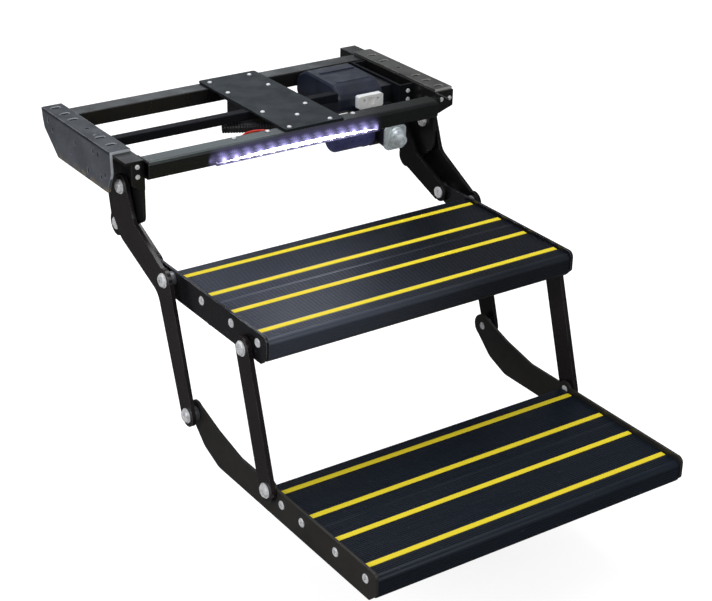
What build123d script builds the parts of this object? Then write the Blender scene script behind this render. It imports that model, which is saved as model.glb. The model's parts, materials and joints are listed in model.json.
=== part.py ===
from build123d import *
import math
import os

os.makedirs("parts", exist_ok=True)

# An electric double step that folds under a caravan floor. X runs across the step, -Y is outwards
# to the user and +Z is up, in millimetres. The origin is the middle of the floor mounting slots,
# on the face that bolts up against the floor.

# Clearances
run_fit = 0.05  # radial play of a pivot in a hole that turns on it
seat_fit = 0.1  # radial play of a fixed screw in its hole
side_gap = 0.2  # play along X between pieces that turn past each other

# Layers of one side, counted from the middle of the step outwards
board_half = 257.5
level_wall = 5.5
bracket_gap = 0.5
bracket_wall = 4.0
plate_gap = 1.0
plate_wall = 4.5
link_gap = 1.5
link_wall = 7.0
arm_gap = 1.0
arm_wall = 6.0
level_in = board_half - level_wall
bracket_in = board_half + bracket_gap
bracket_out = bracket_in + bracket_wall
plate_in = bracket_out + plate_gap
plate_out = plate_in + plate_wall
link_in = bracket_out + link_gap
link_out = link_in + link_wall
arm_in = link_out + arm_gap
arm_out = arm_in + arm_wall

# Depth of a tread, and how far its edges stand from the pivots
tread_depth = 254.0
tread_gap = 4.3
rear_edge_behind = 2.0
link_inset = 49.0

# Pivots in the YZ plane, with the step unfolded
arm_pivot = (-95.0, -59.0)
upper_reach = (-124.0, -100.0)
lower_reach = (-59.0, -190.0)
level_offset = (60.0, 0.0)
link_offset = (rear_edge_behind - tread_depth + link_inset, -20.0)
stop_pivot = (-57.0, -132.0)


def shifted(point, offset):
    """Return the YZ point moved by a YZ offset."""
    return (point[0] + offset[0], point[1] + offset[1])


upper_pivot = shifted(arm_pivot, upper_reach)
lower_pivot = shifted(upper_pivot, lower_reach)
level_pivot = shifted(arm_pivot, level_offset)
level_end = shifted(upper_pivot, level_offset)
link_top = shifted(upper_pivot, link_offset)
link_end = shifted(link_top, lower_reach)

# Pivot hardware
pivot_r = 6.0
nut_across = 17.0
head_r = 9.5
head_height = 4.3
socket_r = 3.3
washer_r = 11.0
washer_height = 1.3
spacer_r = 10.5
link_head_height = 3.2

# Floor mounting angles
flange_wide = 33.0
flange_in = plate_in + 1.0
flange_out = flange_in + flange_wide
angle_wall = 4.0
angle_front = -106.0
angle_rear = 122.0
skirt_bottom = -65.0
slot_x = flange_in + flange_wide / 2 - 0.5
slot_ys = (108.0, 76.0, 48.0, -42.0, -76.0)
slot_length = 16.0
slot_width = 9.0
pilot_y = 0.0
pilot_r = 3.0
skirt_slots = ((86.0, -26.0), (9.0, -22.0), (-51.0, -15.0), (-67.0, -15.0), (-32.0, -51.0),
               (-75.0, -47.0), (-88.0, -40.0), (100.0, -14.0))
skirt_slot_length = 9.0
skirt_slot_width = 5.0
skirt_front_slope = (2.0, 7.0, 51.0)
skirt_rear_slope = (-10.0, 2.0, -2.0)

# Side plates: a rail along the floor with a hanging plate for the pivots
rail_bottom = -48.0
rail_front = {-1: -146.0, 1: -126.0}
rail_rear = {-1: 114.0, 1: 146.0}
rail_flange_front = {-1: -146.0, 1: -126.0}
hang_front = {-1: -145.0, 1: -123.0}
hang_rear = -34.0
hang_shoulder = -12.0
stop_lobe_r = 19.0
end_cap_wall = 4.0
end_cap_wide = {-1: 15.5, 1: flange_out - plate_out}
end_cap_drop = {-1: -40.0, 1: -30.0}
cap_screws_at = {-1: ((7.0, -13.0), (7.0, -28.0)), 1: ((6.5, -17.0), (22.5, -17.0))}

# Cross bars
bar_wall = 2.5
bar_corner_r = 2.0
front_bar_x = (-plate_in, plate_in - 20.0)
front_bar_y = (-159.0, -125.0)
front_bar_z = (-32.0, -5.0)
front_bar_corner_r = 6.0
front_lug_y = (-138.0, -127.0)
front_lug_z = (-28.0, -9.0)
middle_bar_y = (-46.5, -31.0)
middle_bar_z = (-19.0, -5.0)
rear_bar_y = (78.0, 109.0)
rear_bar_z = (-29.0, -5.0)

# Cover plate over the control box
cover_x = (-31.0, 73.0)
cover_y = (-151.0, 113.0)
cover_wall = 3.0
cover_corner_r = 4.0
box_screws_at = ((54.0, 38.0), (-20.5, 37.0))
nut_screws_at = ((56.0, -67.0), (-20.5, -67.0), (18.0, -104.0))
bar_screws_at = ((-20.0, 95.0), (54.0, 97.0), (51.0, -144.0), (-21.0, -144.0))
loose_screws_at = ((-111.0, -136.0), (-54.0, -136.0), (98.0, -136.0))
cover_nut_across = 7.0
cover_nut_height = 3.0
screw_r = 2.0
screw_head_r = 3.6
screw_head_height = 2.0
screw_grip = 4.0

# Light under the front bar
light_x = (-157.0, 128.0)
light_wall = 1.2
light_depth = 7.0
light_top = -15.0
light_bottom = -29.0
lens_gap = 0.4

# Gearmotor
motor_x = (plate_in - 133.0, plate_in - 51.0)
motor_floor = -50.0
housing_front = -52.0
housing_rear = rear_bar_y[0] - 2.0
housing_chamfer = 3.0
housing_rib = (5.0, 3.0)
housing_ribs_at = ((26.0, 4.6), (-22.0, 2.6))
gearbox_x = (plate_in - 83.0, plate_in - 27.0)
gearbox_r = 23.0
can_axis = (-60.0, -75.0)
can_r = 20.0
can_left = plate_in - 156.0
nose_x = plate_in - 63.0
nose_z = -72.0
nose_front = -104.0
nose_root = (30.0, 36.0, 8.0)
nose_tip = (38.0, 38.0, 9.0)
can_end_r = 7.0
can_band = (14.0, 8.0)
cap_half = 20.0
cap_corner_r = 9.0
cap_foot = 4.0
cap_r = 14.0
cap_height = 25.5
cap_screw_r = 3.0
shaft_r = 7.0
carrier_x = (plate_in - 27.0, plate_in - 23.0)
carrier_y = (-66.0, 73.0)
carrier_z = (-41.0, -5.0)
carrier_screw_x = plate_in - 11.0
carrier_screw_zs = (-16.0, -30.0)
terminal_x = (plate_in - 103.0, plate_in - 57.0)
terminal_z = (-33.0, -12.0)
terminal_depth = 11.0

# Control box and its cable conduit
box_x = (-14.0, 60.0)
box_y = (-29.5, 55.0)
box_floor = -54.0
box_wall_r = 5.0
box_lip_x = (cover_x[0] + 3.0, cover_x[1] - 9.0)
box_lip_wall = 5.0
conduit_r = 8.5
conduit_route = ((12.0, front_bar_y[1] + 0.3, -21.0), (12.0, -98.0, -21.0), (-66.0, -25.0, -32.0))
conduit_bend = 24.0
lead_r = 1.6
lead_route = ((-14.0, 0.0), (-56.0, 34.0), (-106.0, 0.0))
lead_bend = 30.0
lead_pitch = 3.6
lead_z = -20.0
lead_gap = 1.0

# Treads
rear_plank_depth = 120.0
plank_joint = 0.6
upper_rear = upper_pivot[0] + rear_edge_behind
upper_top = upper_pivot[1] + 8.0
tread_run = tread_depth + tread_gap
tread_rise = 219.0
board_height = 33.0
board_wall = 2.6
nose_r = 9.0
strip_width = 9.0
strip_height = 2.2
strip_stand = 0.7
strip_end = 3.0
strips_in = (22.0, 92.0, 153.7, 223.0)
groove_pitch = 3.6
groove_width = 1.5
groove_depth = 0.7
nose_groove_pitch = 4.0
ports_in = (34.0, 84.0, 164.5, 233.0)
upper_screws = (1, 2, 3)
lower_screws = (0, 1, 2, 3)
port_drop = 10.0
port_r = 5.2
port_hole_r = 2.6

# Side brackets of the treads
bracket_rise = 5.0
bracket_drop = 38.0
bracket_front = 1.5
bracket_nose_r = 9.0
level_lobe_r = 15.0
link_lobe_r = 13.0
lower_lobe_r = 19.0
bracket_screw_r = 6.5
bracket_screw_height = 1.3

# Arms and links
arm_lobe_r = 19.0
arm_half_width = 17.0
link_half_width = 17.0
level_half_width = 16.0
stop_roller_r = 17.6
buffer_r = 8.0
buffer_x = board_half - 14.5
buffer_in = 82.0
buffer_bottom = -203.0

sides = {"left": -1, "right": 1}
up = (0, 0, 1)
to_user = (0, -1, 0)


def face(points, radii):
    """Return a closed face with the corner radii given."""
    return make_face(FilletPolyline(*points, radius=radii, close=True))


def disc(centre, radius):
    """Return a disc about a point of the YZ plane."""
    return Pos(*centre) * Circle(radius)


def plate(sketch, x_from, x_to):
    """Return a YZ outline made solid between two X positions."""
    return extrude(Plane.YZ.offset(x_from) * sketch, x_to - x_from)


def block(x_span, y_span, z_span):
    """Return a box between three pairs of positions."""
    spans = (x_span, y_span, z_span)
    middle = [(low + high) / 2 for low, high in spans]
    size = [high - low for low, high in spans]
    return Pos(*middle) * Box(*size)


def rod(centre, radius, x_from, x_to):
    """Return a cylinder along X about a point of the YZ plane."""
    return plate(disc(centre, radius), x_from, x_to)


def ring(centre, outer, inner, x_from, x_to):
    """Return a sleeve along X."""
    return plate(disc(centre, outer) - disc(centre, inner), x_from, x_to)


def strap(start, end, half_width):
    """Return a flat strap with round ends between two YZ points."""
    length = math.dist(start, end)
    tilt = math.degrees(math.atan2(end[1] - start[1], end[0] - start[0]))
    middle = ((start[0] + end[0]) / 2, (start[1] + end[1]) / 2)
    return Pos(*middle) * SlotCenterToCenter(length, 2 * half_width, rotation=tilt)


def handed(shape, side):
    """Return a shape drawn on the right, or its mirror image on the left."""
    return shape if side > 0 else mirror(shape, about=Plane.YZ)


def both(shape):
    """Return a shape drawn on the right and its mirror image."""
    return [shape, mirror(shape, about=Plane.YZ)]


def save(name, shapes):
    """Write the solids of one node to its file."""
    shapes = shapes if isinstance(shapes, list) else [shapes]
    solids = [solid for shape in shapes for solid in shape.solids()]
    export_step(Compound(solids), f"parts/{name}.step")


def pivot_bolt(centre, x_seat, x_tip, height=head_height):
    """Return a button head bolt along X whose washer sits at x_seat and whose shank ends at x_tip."""
    washer = rod(centre, washer_r, x_seat, x_seat + washer_height)
    top = x_seat + washer_height + height
    head = rod(centre, head_r, x_seat + washer_height, top)
    head = fillet(head.edges().group_by(Axis.X)[-1], height - 1.0)
    socket = plate(Pos(*centre) * RegularPolygon(socket_r, 6), top - 2.2, top + 1)
    return washer + head - socket + rod(centre, pivot_r, x_tip, x_seat)


def pivot_nut(centre, x_from, x_to):
    """Return a hexagonal nut threaded on a pivot bolt."""
    hexagon = Pos(*centre) * RegularPolygon(nut_across / 2, 6, major_radius=False)
    return plate(hexagon - disc(centre, pivot_r + seat_fit), x_from, x_to)


def pan_screw(seat, outward, length):
    """Return a pan head screw at a point of a face, along one of the two outward directions."""
    across = (1, 0, 0)
    at = Plane(seat, x_dir=across, z_dir=outward)
    head = extrude(at * Circle(screw_head_r), screw_head_height / 2)
    crown = extrude(at.offset(screw_head_height / 2) * Circle(screw_head_r), screw_head_height / 2, taper=45)
    return head + crown + extrude(at * Circle(screw_r), -length)


# Floor mounting angles

def mount_angle():
    """Return the right mounting angle: a slotted flange with a tapered slotted skirt."""
    near, far = -angle_rear, -angle_front
    flange = block((flange_in, flange_out), (near, far), (-angle_wall, 0))
    profile = face([(near, 0), (near + skirt_front_slope[0], -14), (near + skirt_front_slope[1], -30),
                    (near + skirt_front_slope[2], skirt_bottom), (far + skirt_rear_slope[0], skirt_bottom),
                    (far + skirt_rear_slope[0] + 3, -53), (far + skirt_rear_slope[1], -32), (far, 0)],
                   [0, 4, 8, 6, 4, 3, 6, 0])
    slots = Sketch() + [Pos(-y, z) * SlotOverall(skirt_slot_length, skirt_slot_width, rotation=90)
                        for y, z in skirt_slots]
    skirt = plate(profile - slots, flange_out - angle_wall, flange_out)
    angle = flange + skirt
    for y in slot_ys:
        angle -= floor_slot(-y)
    angle -= Pos(slot_x, -pilot_y, 0) * Cylinder(pilot_r, 4 * angle_wall)
    return angle


def floor_slot(y):
    """Return the cutter of one floor slot on the right, through angle and rail flange."""
    slot = SlotOverall(slot_length, slot_width)
    return Pos(slot_x, y, -3 * angle_wall) * extrude(slot, 4 * angle_wall)


# The angle on the left is the right one turned half round, so its slots run the other way.
angle_right = mount_angle()
save("mount_angle_right", angle_right)
save("mount_angle_left", Rot(0, 0, 180) * angle_right)


# Side plates

def side_plate(side):
    """Return one side plate: floor rail, hanging pivot plate and stop lobe."""
    web = face([(rail_front[side], -angle_wall), (rail_rear[side], -angle_wall),
                (rail_rear[side], rail_bottom + 12), (rail_rear[side] - 12, rail_bottom),
                (hang_shoulder, rail_bottom), (hang_rear, -91), (stop_pivot[0] + 16, stop_pivot[1] + 8),
                (stop_pivot[0] - 16, stop_pivot[1] - 8), (hang_front[side], -98), (hang_front[side], -40),
                (rail_front[side], -34)],
               [0, 6, 4, 4, 14, 16, 4, 4, 12, 2, 1])
    web += disc(stop_pivot, stop_lobe_r)
    web -= disc(arm_pivot, pivot_r + seat_fit)
    web -= disc(stop_pivot, pivot_r + seat_fit)
    web -= disc(level_pivot, (shaft_r if side > 0 else pivot_r) + run_fit)
    solid = plate(web, plate_in, plate_out)
    flange = block((plate_in, flange_out - angle_wall), (rail_flange_front[side], rail_rear[side]),
                   (-2 * angle_wall, -angle_wall))
    solid += flange
    cap_front = rail_flange_front[side]
    drop = end_cap_drop[side]
    cap_out = plate_out + end_cap_wide[side]
    cap = make_face(Polyline([(plate_in, -angle_wall), (cap_out, -angle_wall), (cap_out, drop),
                              (plate_out, drop - 10), (plate_in, drop - 10)], close=True))
    for x, z in cap_screws_at[side]:
        cap -= Pos(plate_out + x, z) * Circle(screw_r + seat_fit)
    solid += extrude(Plane((0, cap_front + end_cap_wall, 0), x_dir=(1, 0, 0), z_dir=(0, -1, 0)) * cap,
                     end_cap_wall)
    for y in slot_ys:
        solid -= floor_slot(-side * y)
    solid -= Pos(slot_x, -side * pilot_y, 0) * Cylinder(pilot_r, 6 * angle_wall)
    return handed(solid, side)


for name, side in sides.items():
    save(f"side_plate_{name}", side_plate(side))


rail_screws = []
for side in sides.values():
    for x, z in cap_screws_at[side]:
        screw = pan_screw((plate_out + x, rail_flange_front[side], z), to_user, end_cap_wall)
        rail_screws.append(handed(screw, side))
save("rail_screws", rail_screws)


# Cross bars

def tube(y_span, z_span, x_span=(-plate_in, plate_in), corner=bar_corner_r):
    """Return a square tube along X between the side plates."""
    wide = y_span[1] - y_span[0]
    high = z_span[1] - z_span[0]
    middle = ((y_span[0] + y_span[1]) / 2, (z_span[0] + z_span[1]) / 2)
    outer = RectangleRounded(wide, high, corner)
    inner = Rectangle(wide - 2 * bar_wall, high - 2 * bar_wall)
    return plate(Pos(*middle) * (outer - inner), *x_span)


def screw_holes(points, z):
    """Return the cutters of the screws that stand down through a face at z."""
    return [Pos(x, y, z) * Cylinder(screw_r + seat_fit, 3 * screw_grip) for x, y in points]


front_bar = tube(front_bar_y, front_bar_z, front_bar_x, front_bar_corner_r)
front_bar += block((front_bar_x[1] - bar_wall, front_bar_x[1]), front_lug_y, front_bar_z)
front_bar += block((front_bar_x[1] - bar_wall, plate_in), front_lug_y, front_lug_z)
middle_bar = tube(middle_bar_y, middle_bar_z, (-plate_in, motor_x[0]), 1.5)
rear_bar = tube(rear_bar_y, rear_bar_z)
for cutter in screw_holes([p for p in bar_screws_at + loose_screws_at if p[1] < 0], front_bar_z[1]):
    front_bar -= cutter
for cutter in screw_holes([p for p in bar_screws_at if p[1] > 0], rear_bar_z[1]):
    rear_bar -= cutter
save("front_bar", front_bar)
save("middle_bar", middle_bar)
save("rear_bar", rear_bar)

# Cover plate with its screws
cover_bottom = front_bar_z[1]
cover_size = (cover_x[1] - cover_x[0], cover_y[1] - cover_y[0])
cover_middle = (sum(cover_x) / 2, sum(cover_y) / 2, cover_bottom)
cover = Pos(*cover_middle) * extrude(RectangleRounded(*cover_size, cover_corner_r), cover_wall)
cover_screws_at = bar_screws_at + box_screws_at + nut_screws_at
for cutter in screw_holes(cover_screws_at, cover_bottom):
    cover -= cutter
save("cover_plate", cover)
screws = [pan_screw((x, y, cover_bottom + cover_wall), up, screw_grip) for x, y in bar_screws_at + box_screws_at]
screws += [pan_screw((x, y, cover_bottom + cover_wall), up, cover_wall + cover_nut_height)
           for x, y in nut_screws_at]
screws += [pan_screw((x, y, front_bar_z[1]), up, screw_grip) for x, y in loose_screws_at]
save("cover_screws", screws)
cover_nut = RegularPolygon(cover_nut_across / 2, 6, major_radius=False) - Circle(screw_r + seat_fit)
save("cover_nuts", [Pos(x, y, cover_bottom) * extrude(cover_nut, -cover_nut_height) for x, y in nut_screws_at])


# Light

def light_channel():
    """Return the light's folded channel on the front of the front bar."""
    back = front_bar_y[0]
    profile = face([(back, light_top), (back - light_depth + 2, light_top),
                    (back - light_depth + 2, light_top - light_wall), (back - light_wall, light_top - light_wall),
                    (back - light_wall, light_bottom + light_wall),
                    (back - light_depth, light_bottom + light_wall),
                    (back - light_depth, light_bottom), (back, light_bottom)],
                   [0, 0.4, 0.4, 0.4, 0.4, 0.4, 0.4, 0.4])
    return plate(profile, *light_x)


def light_lens():
    """Return the light's frosted lens, crowned towards the user."""
    back = front_bar_y[0] - light_wall - 0.1
    low = light_bottom + light_wall + lens_gap
    high = light_top - light_wall - lens_gap
    middle = (low + high) / 2
    profile = make_face(Polyline((back, low), (back, high), (back - 2.5, high))
                        + ThreePointArc((back - 2.5, high), (back - 5.5, middle), (back - 2.5, low))
                        + Line((back - 2.5, low), (back, low)))
    return plate(profile, light_x[0] + 2, light_x[1] - 2)


save("light_channel", light_channel())
save("light_lens", light_lens())


# Gearmotor

def gear_housing():
    """Return the ribbed moulded cover of the reduction gears."""
    profile = face([(housing_front, -34), (housing_front, -12), (-30, 3), (50, 5), (housing_rear, -10),
                    (housing_rear, -38), (housing_rear - 18, motor_floor), (-24, motor_floor)],
                   [12, 14, 18, 18, 18, 14, 12, 14])
    ribs = Sketch() + [Pos(*at) * Rectangle(*housing_rib) for at in housing_ribs_at]
    body = plate(profile, *motor_x)
    body = chamfer(body.faces().sort_by(Axis.X)[0].edges(), housing_chamfer)
    return body + plate(ribs, motor_x[0] + 14, motor_x[1] - 4)


def gearbox():
    """Return the cast gearbox that carries the output shaft and the motor."""
    low = disc(level_pivot, gearbox_r) + disc(can_axis, can_r + 1.5)
    low += make_face(Polyline((can_axis[0] - 14, can_axis[1] - 14), (can_axis[0] - 14, motor_floor - 2),
                              (-50, motor_floor), (14, motor_floor), (-14, -68), (-45, -92), close=True))
    body = plate(low, *gearbox_x)
    body -= block((gearbox_x[0] - 1, motor_x[1]), (-60, 60), (motor_floor, 0))
    body += block((motor_x[1], gearbox_x[1]), (-44, 58), (motor_floor - 4, -9))
    nose = Plane((nose_x, can_axis[0] - can_r + 6, nose_z), x_dir=(1, 0, 0), z_dir=(0, -1, 0))
    nose_length = nose.origin.Y - nose_front
    body += loft([nose * RectangleRounded(*nose_root), nose.offset(nose_length) * RectangleRounded(*nose_tip)])
    return body - rod(level_pivot, shaft_r + run_fit, gearbox_x[0] - 1, gearbox_x[1] + 1)


def motor_can():
    """Return the motor's drawn can with its domed end."""
    can = rod(can_axis, can_r, can_left, gearbox_x[0])
    can = fillet(can.edges().sort_by(Axis.X)[0], can_end_r)
    band = ring(can_axis, can_r + 1.0, can_r - 1.0, gearbox_x[0] - can_band[0], gearbox_x[0] - can_band[1])
    return can + band


def motor_cap():
    """Return the plated cap on the gearbox nose, stepped down to its end screw."""
    seat = Plane((nose_x, nose_front, nose_z), x_dir=(1, 0, 0), z_dir=(0, -1, 0))
    foot = extrude(seat * RectangleRounded(2 * cap_half, 2 * cap_half, cap_corner_r), cap_foot)
    profile = make_face(Polyline((0, cap_foot), (cap_r + 3, cap_foot), (cap_r + 2, cap_foot + 4),
                                 (cap_r, cap_foot + 5), (cap_r - 1, cap_foot + 10), (8.5, cap_foot + 12.5),
                                 (8, cap_height - 1.5), (6.5, cap_height), (0, cap_height), close=True))
    dome = revolve(Plane((nose_x, nose_front, nose_z), x_dir=(1, 0, 0), z_dir=(0, 0, 1))
                   * mirror(profile, about=Plane.XZ), Axis((nose_x, nose_front, nose_z), (0, 1, 0)))
    recess = extrude(seat.offset(cap_height - 2.5) * RegularPolygon(cap_screw_r, 6), 4)
    return foot + dome - recess


def motor_carrier():
    """Return the folded bracket that holds the gearbox to the right side plate."""
    web = block(carrier_x, carrier_y, carrier_z)
    wall = carrier_x[1] - carrier_x[0]
    front = block((carrier_x[0], plate_in), (carrier_y[0], carrier_y[0] + wall), carrier_z)
    rear = block((carrier_x[0], plate_in), (carrier_y[1] - wall, carrier_y[1]), carrier_z)
    body = web + front + rear
    for z in carrier_screw_zs:
        body -= Pos(carrier_screw_x, carrier_y[0], z) * Rot(90, 0, 0) * Cylinder(screw_r + seat_fit, 4 * wall)
    return body


def terminal_block():
    """Return the connector on the front of the gear housing."""
    front = housing_front - terminal_depth
    body = block(terminal_x, (front, housing_front), terminal_z)
    body = fillet(body.edges().filter_by(Axis.Y), 3.0)
    middle = sum(terminal_z) / 2
    for x in (terminal_x[0] + 10, terminal_x[1] - 10):
        body -= Pos(x, front + 3, middle + 3) * Rot(90, 0, 0) * Cylinder(2.4, 6.2)
    slot_span = (terminal_x[0] + 17, terminal_x[1] - 17)
    return body - block(slot_span, (front - 1, front + 4), (middle - 6, middle + 6))


save("gear_housing", gear_housing())
save("gearbox", gearbox())
save("motor_can", motor_can())
save("motor_cap", motor_cap())
save("motor_carrier", motor_carrier())
save("carrier_screws",
     [pan_screw((carrier_screw_x, carrier_y[0], z), to_user, screw_grip) for z in carrier_screw_zs])
save("terminal_block", terminal_block())


# Control box, conduit and leads

def control_box():
    """Return the sealed box that holds the step's controller under the cover plate."""
    size = (box_x[1] - box_x[0], box_y[1] - box_y[0])
    middle = (sum(box_x) / 2, sum(box_y) / 2, box_floor)
    body = Pos(*middle) * extrude(RectangleRounded(*size, box_wall_r), cover_bottom - box_floor)
    body = chamfer(body.faces().sort_by(Axis.Z)[0].edges(), 2.0)
    lip = (box_lip_x[1] - box_lip_x[0], size[1])
    body += Pos(sum(box_lip_x) / 2, middle[1], cover_bottom) * extrude(RectangleRounded(*lip, box_wall_r), -box_lip_wall)
    for cutter in screw_holes(box_screws_at, cover_bottom):
        body -= cutter
    return body


def conduit():
    """Return the conduit from the front bar back under the middle bar."""
    path = FilletPolyline(*conduit_route, radius=conduit_bend)
    return sweep(Plane(path @ 0, z_dir=path % 0) * Circle(conduit_r), path=path)


def leads():
    """Return the light's three leads, bowed behind the front bar."""
    solids = []
    for i in range(3):
        z = lead_z + (i - 1) * lead_pitch
        points = [(x, front_bar_y[1] + lead_gap + back, z) for x, back in lead_route]
        path = FilletPolyline(*points, radius=lead_bend)
        solids.append(sweep(Plane(path @ 0, z_dir=path % 0) * Circle(lead_r), path=path))
    return solids


save("control_box", control_box())
save("cable_conduit", conduit())
save("light_leads", leads())


# Treads

def board_profile(span, height, nose):
    """Return the YZ section of one plank, from its depth behind the tread's rear top corner."""
    near, far = span
    depth = far - near
    outer = Pos(-(near + far) / 2, -height / 2) * Rectangle(depth, height)
    if nose:
        corners = outer.vertices().group_by(Axis.X)[0]
        outer = fillet(corners, nose_r)
    inner_depth = (depth - 3 * board_wall) / 2
    section = outer
    for i in range(2):
        start = near + board_wall + i * (inner_depth + board_wall)
        cell = Pos(-start - inner_depth / 2, -height / 2) * Rectangle(inner_depth, height - 2 * board_wall)
        if nose and i == 1:
            cell = fillet(cell.vertices().group_by(Axis.X)[0], nose_r - board_wall)
        section -= cell
    for port in ports_in:
        if near < port < far:
            section += Pos(-port, -port_drop) * Circle(port_r)
            section += Pos(-port, -port_drop / 2 - 0.5) * Rectangle(2 * port_r - 3, port_drop - 1)
            section -= Pos(-port, -port_drop) * Circle(port_hole_r)
    for strip in strips_in:
        if near < strip < far:
            floor = strip_height - strip_stand
            section += Pos(-strip, -board_wall) * Rectangle(strip_width + 5, 2 * board_wall)
            section -= Pos(-strip, -floor / 2) * Rectangle(strip_width + 2 * seat_fit, floor)
    for at in groove_places(near, far, nose):
        section -= Pos(-at, -groove_depth / 2) * Rectangle(groove_width, groove_depth)
    if nose:
        face_count = int((height - 2 * nose_r + 6) / nose_groove_pitch)
        for i in range(face_count):
            drop = nose_r - 2 + (i + 0.5) * nose_groove_pitch
            section -= Pos(-far + groove_depth / 2, -drop) * Rectangle(groove_depth, groove_width - 0.4)
    return section


def groove_places(near, far, nose):
    """Return the depths of the fine grooves, which leave the strips and the plank edges free."""
    last = far - (nose_r if nose else groove_pitch / 2)
    count = int((last - near - groove_pitch / 2) / groove_pitch)
    places = [near + groove_pitch * (i + 1) for i in range(count)]
    clear = strip_width / 2 + groove_width + 0.4
    return [at for at in places if all(abs(at - strip) > clear for strip in strips_in)]


def tread_origin(step):
    """Return the rear top corner of the upper tread, step 0, or of the lower one, step 1."""
    return (upper_rear - step * tread_run, upper_top - step * tread_rise)


def plank(step, span, height, nose):
    """Return one plank of a tread."""
    section = Pos(*tread_origin(step)) * board_profile(span, height, nose)
    return plate(section, -board_half, board_half)


def grip_strips(step):
    """Return the four grip strips of a tread."""
    rear, top = tread_origin(step)
    solids = []
    for strip in strips_in:
        section = Pos(rear - strip, top + strip_stand - strip_height / 2) * Rectangle(strip_width, strip_height)
        section = fillet(section.vertices().group_by(Axis.Y)[-1], 0.6)
        solids.append(plate(section, -board_half + strip_end, board_half - strip_end))
    return solids


def bracket_holes(step, screws_used):
    """Return the screw and rivet holes of a tread's side bracket."""
    rear, top = tread_origin(step)
    holes = Sketch()
    for i in screws_used:
        holes += disc((rear - ports_in[i], top - port_drop), port_hole_r + seat_fit)
    return holes


def upper_bracket():
    """Return the right bracket of the upper tread, which runs back to both arms' pivots."""
    rear, top = tread_origin(0)
    front = rear - tread_depth - bracket_front
    high = top + bracket_rise
    low = top - bracket_drop
    outline = face([(front, high), (level_end[0] - 4, high), (level_end[0] + 8, level_end[1]),
                    (level_end[0] - 4, level_end[1] - level_lobe_r), (upper_pivot[0] + 10, low),
                    (front + 14, low), (front, low + 14)],
                   [bracket_nose_r, 8, 4, 8, 14, 6, 6])
    outline += disc(level_end, level_lobe_r) + disc(link_top, link_lobe_r)
    outline -= bracket_holes(0, upper_screws)
    outline -= disc(upper_pivot, pivot_r + seat_fit) + disc(link_top, pivot_r + seat_fit)
    outline -= disc(level_end, pivot_r + seat_fit)
    return plate(outline, bracket_in, bracket_out)


def lower_bracket():
    """Return the right bracket of the lower tread, swept up and back to the main arm."""
    rear, top = tread_origin(1)
    front = rear - tread_depth - bracket_front
    high = top + 7
    low = top - bracket_drop
    away = lower_pivot
    outline = face([(front, high), (away[0] - 122, high), (away[0] - 62, away[1] - 1),
                    (away[0] - 10, away[1] + 16), (away[0] + 13, away[1] - 13),
                    (away[0] - 22, away[1] - 44), (away[0] - 62, low),
                    (front + 14, low), (front, low + 14)],
                   [bracket_nose_r, 40, 40, 4, 4, 30, 30, 6, 6])
    outline += disc(lower_pivot, lower_lobe_r) + disc(link_end, link_lobe_r)
    outline -= bracket_holes(1, lower_screws)
    outline -= disc(lower_pivot, pivot_r + seat_fit) + disc(link_end, pivot_r + seat_fit)
    return plate(outline, bracket_in, bracket_out)


def bracket_screws(step, screws_used):
    """Return the screws of one tread's side brackets, on both sides."""
    rear, top = tread_origin(step)
    solids = []
    for i in screws_used:
        centre = (rear - ports_in[i], top - port_drop)
        head = rod(centre, bracket_screw_r, bracket_out, bracket_out + bracket_screw_height)
        head = chamfer(head.edges().group_by(Axis.X)[-1], 0.8)
        socket = plate(Pos(*centre) * Rectangle(1.4, 5.2, rotation=20), bracket_out - 0.4, bracket_out + 4)
        socket += plate(Pos(*centre) * Rectangle(5.2, 1.4, rotation=20), bracket_out - 0.4, bracket_out + 4)
        solids += both(head + rod(centre, port_hole_r - seat_fit, board_half - 14, bracket_out) - socket)
    return solids


rear_span = (0, rear_plank_depth)
front_span = (rear_plank_depth + plank_joint, tread_depth)
for step, name in ((0, "upper"), (1, "lower")):
    save(f"{name}_tread_rear_plank", plank(step, rear_span, board_height, False))
    save(f"{name}_tread_front_plank", plank(step, front_span, board_height, True))
    save(f"{name}_grip_strips", grip_strips(step))
save("upper_tread_screws", bracket_screws(0, upper_screws))
save("lower_tread_screws", bracket_screws(1, lower_screws))
for name, side in sides.items():
    save(f"upper_bracket_{name}", handed(upper_bracket(), side))
    save(f"lower_bracket_{name}", handed(lower_bracket(), side))


# Arms and links

def main_arm():
    """Return the right main arm, one plate from the side plate down to both treads."""
    b, c, d = arm_pivot, upper_pivot, lower_pivot
    along = (lower_reach[0] / math.hypot(*lower_reach), lower_reach[1] / math.hypot(*lower_reach))
    out = (along[1] * arm_half_width, -along[0] * arm_half_width)
    web = face([(b[0] - 18, b[1] + 6), (b[0] + 18, b[1] + 6), (b[0] + 31, b[1] - 50),
                (b[0] + 4, b[1] - 82), (c[0] + 18, c[1] - 26), (d[0] - out[0], d[1] - out[1]),
                (d[0] + out[0], d[1] + out[1]), (c[0] + out[0], c[1] + out[1]), (b[0] - 36, b[1] - 42)],
               [4, 6, 26, 24, 30, 3, 3, 14, 24])
    web += disc(b, arm_lobe_r) + disc(d, arm_half_width) + disc(c, arm_half_width)
    for centre in (b, c, d):
        web -= disc(centre, pivot_r + run_fit)
    return plate(web, arm_in, arm_out)


def level_arm(hole_r):
    """Return the right levelling arm, bent round the stop roller."""
    bend = (-79.0, -128.0)
    a, g = level_pivot, level_end
    web = face([(a[0] - 15, a[1] + 4), (a[0] + 15, a[1] - 4), (bend[0] + 22, bend[1] - 12),
                (g[0] + 6, g[1] - level_half_width), (g[0] - 4, g[1] + 14), (bend[0] - 14, bend[1] + 14)],
               [3, 3, 22, 4, 4, 20])
    web += disc(a, level_half_width) + disc(g, level_half_width - 1)
    web -= disc(a, hole_r) + disc(g, pivot_r + run_fit)
    return plate(web, level_in, board_half)


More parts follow.
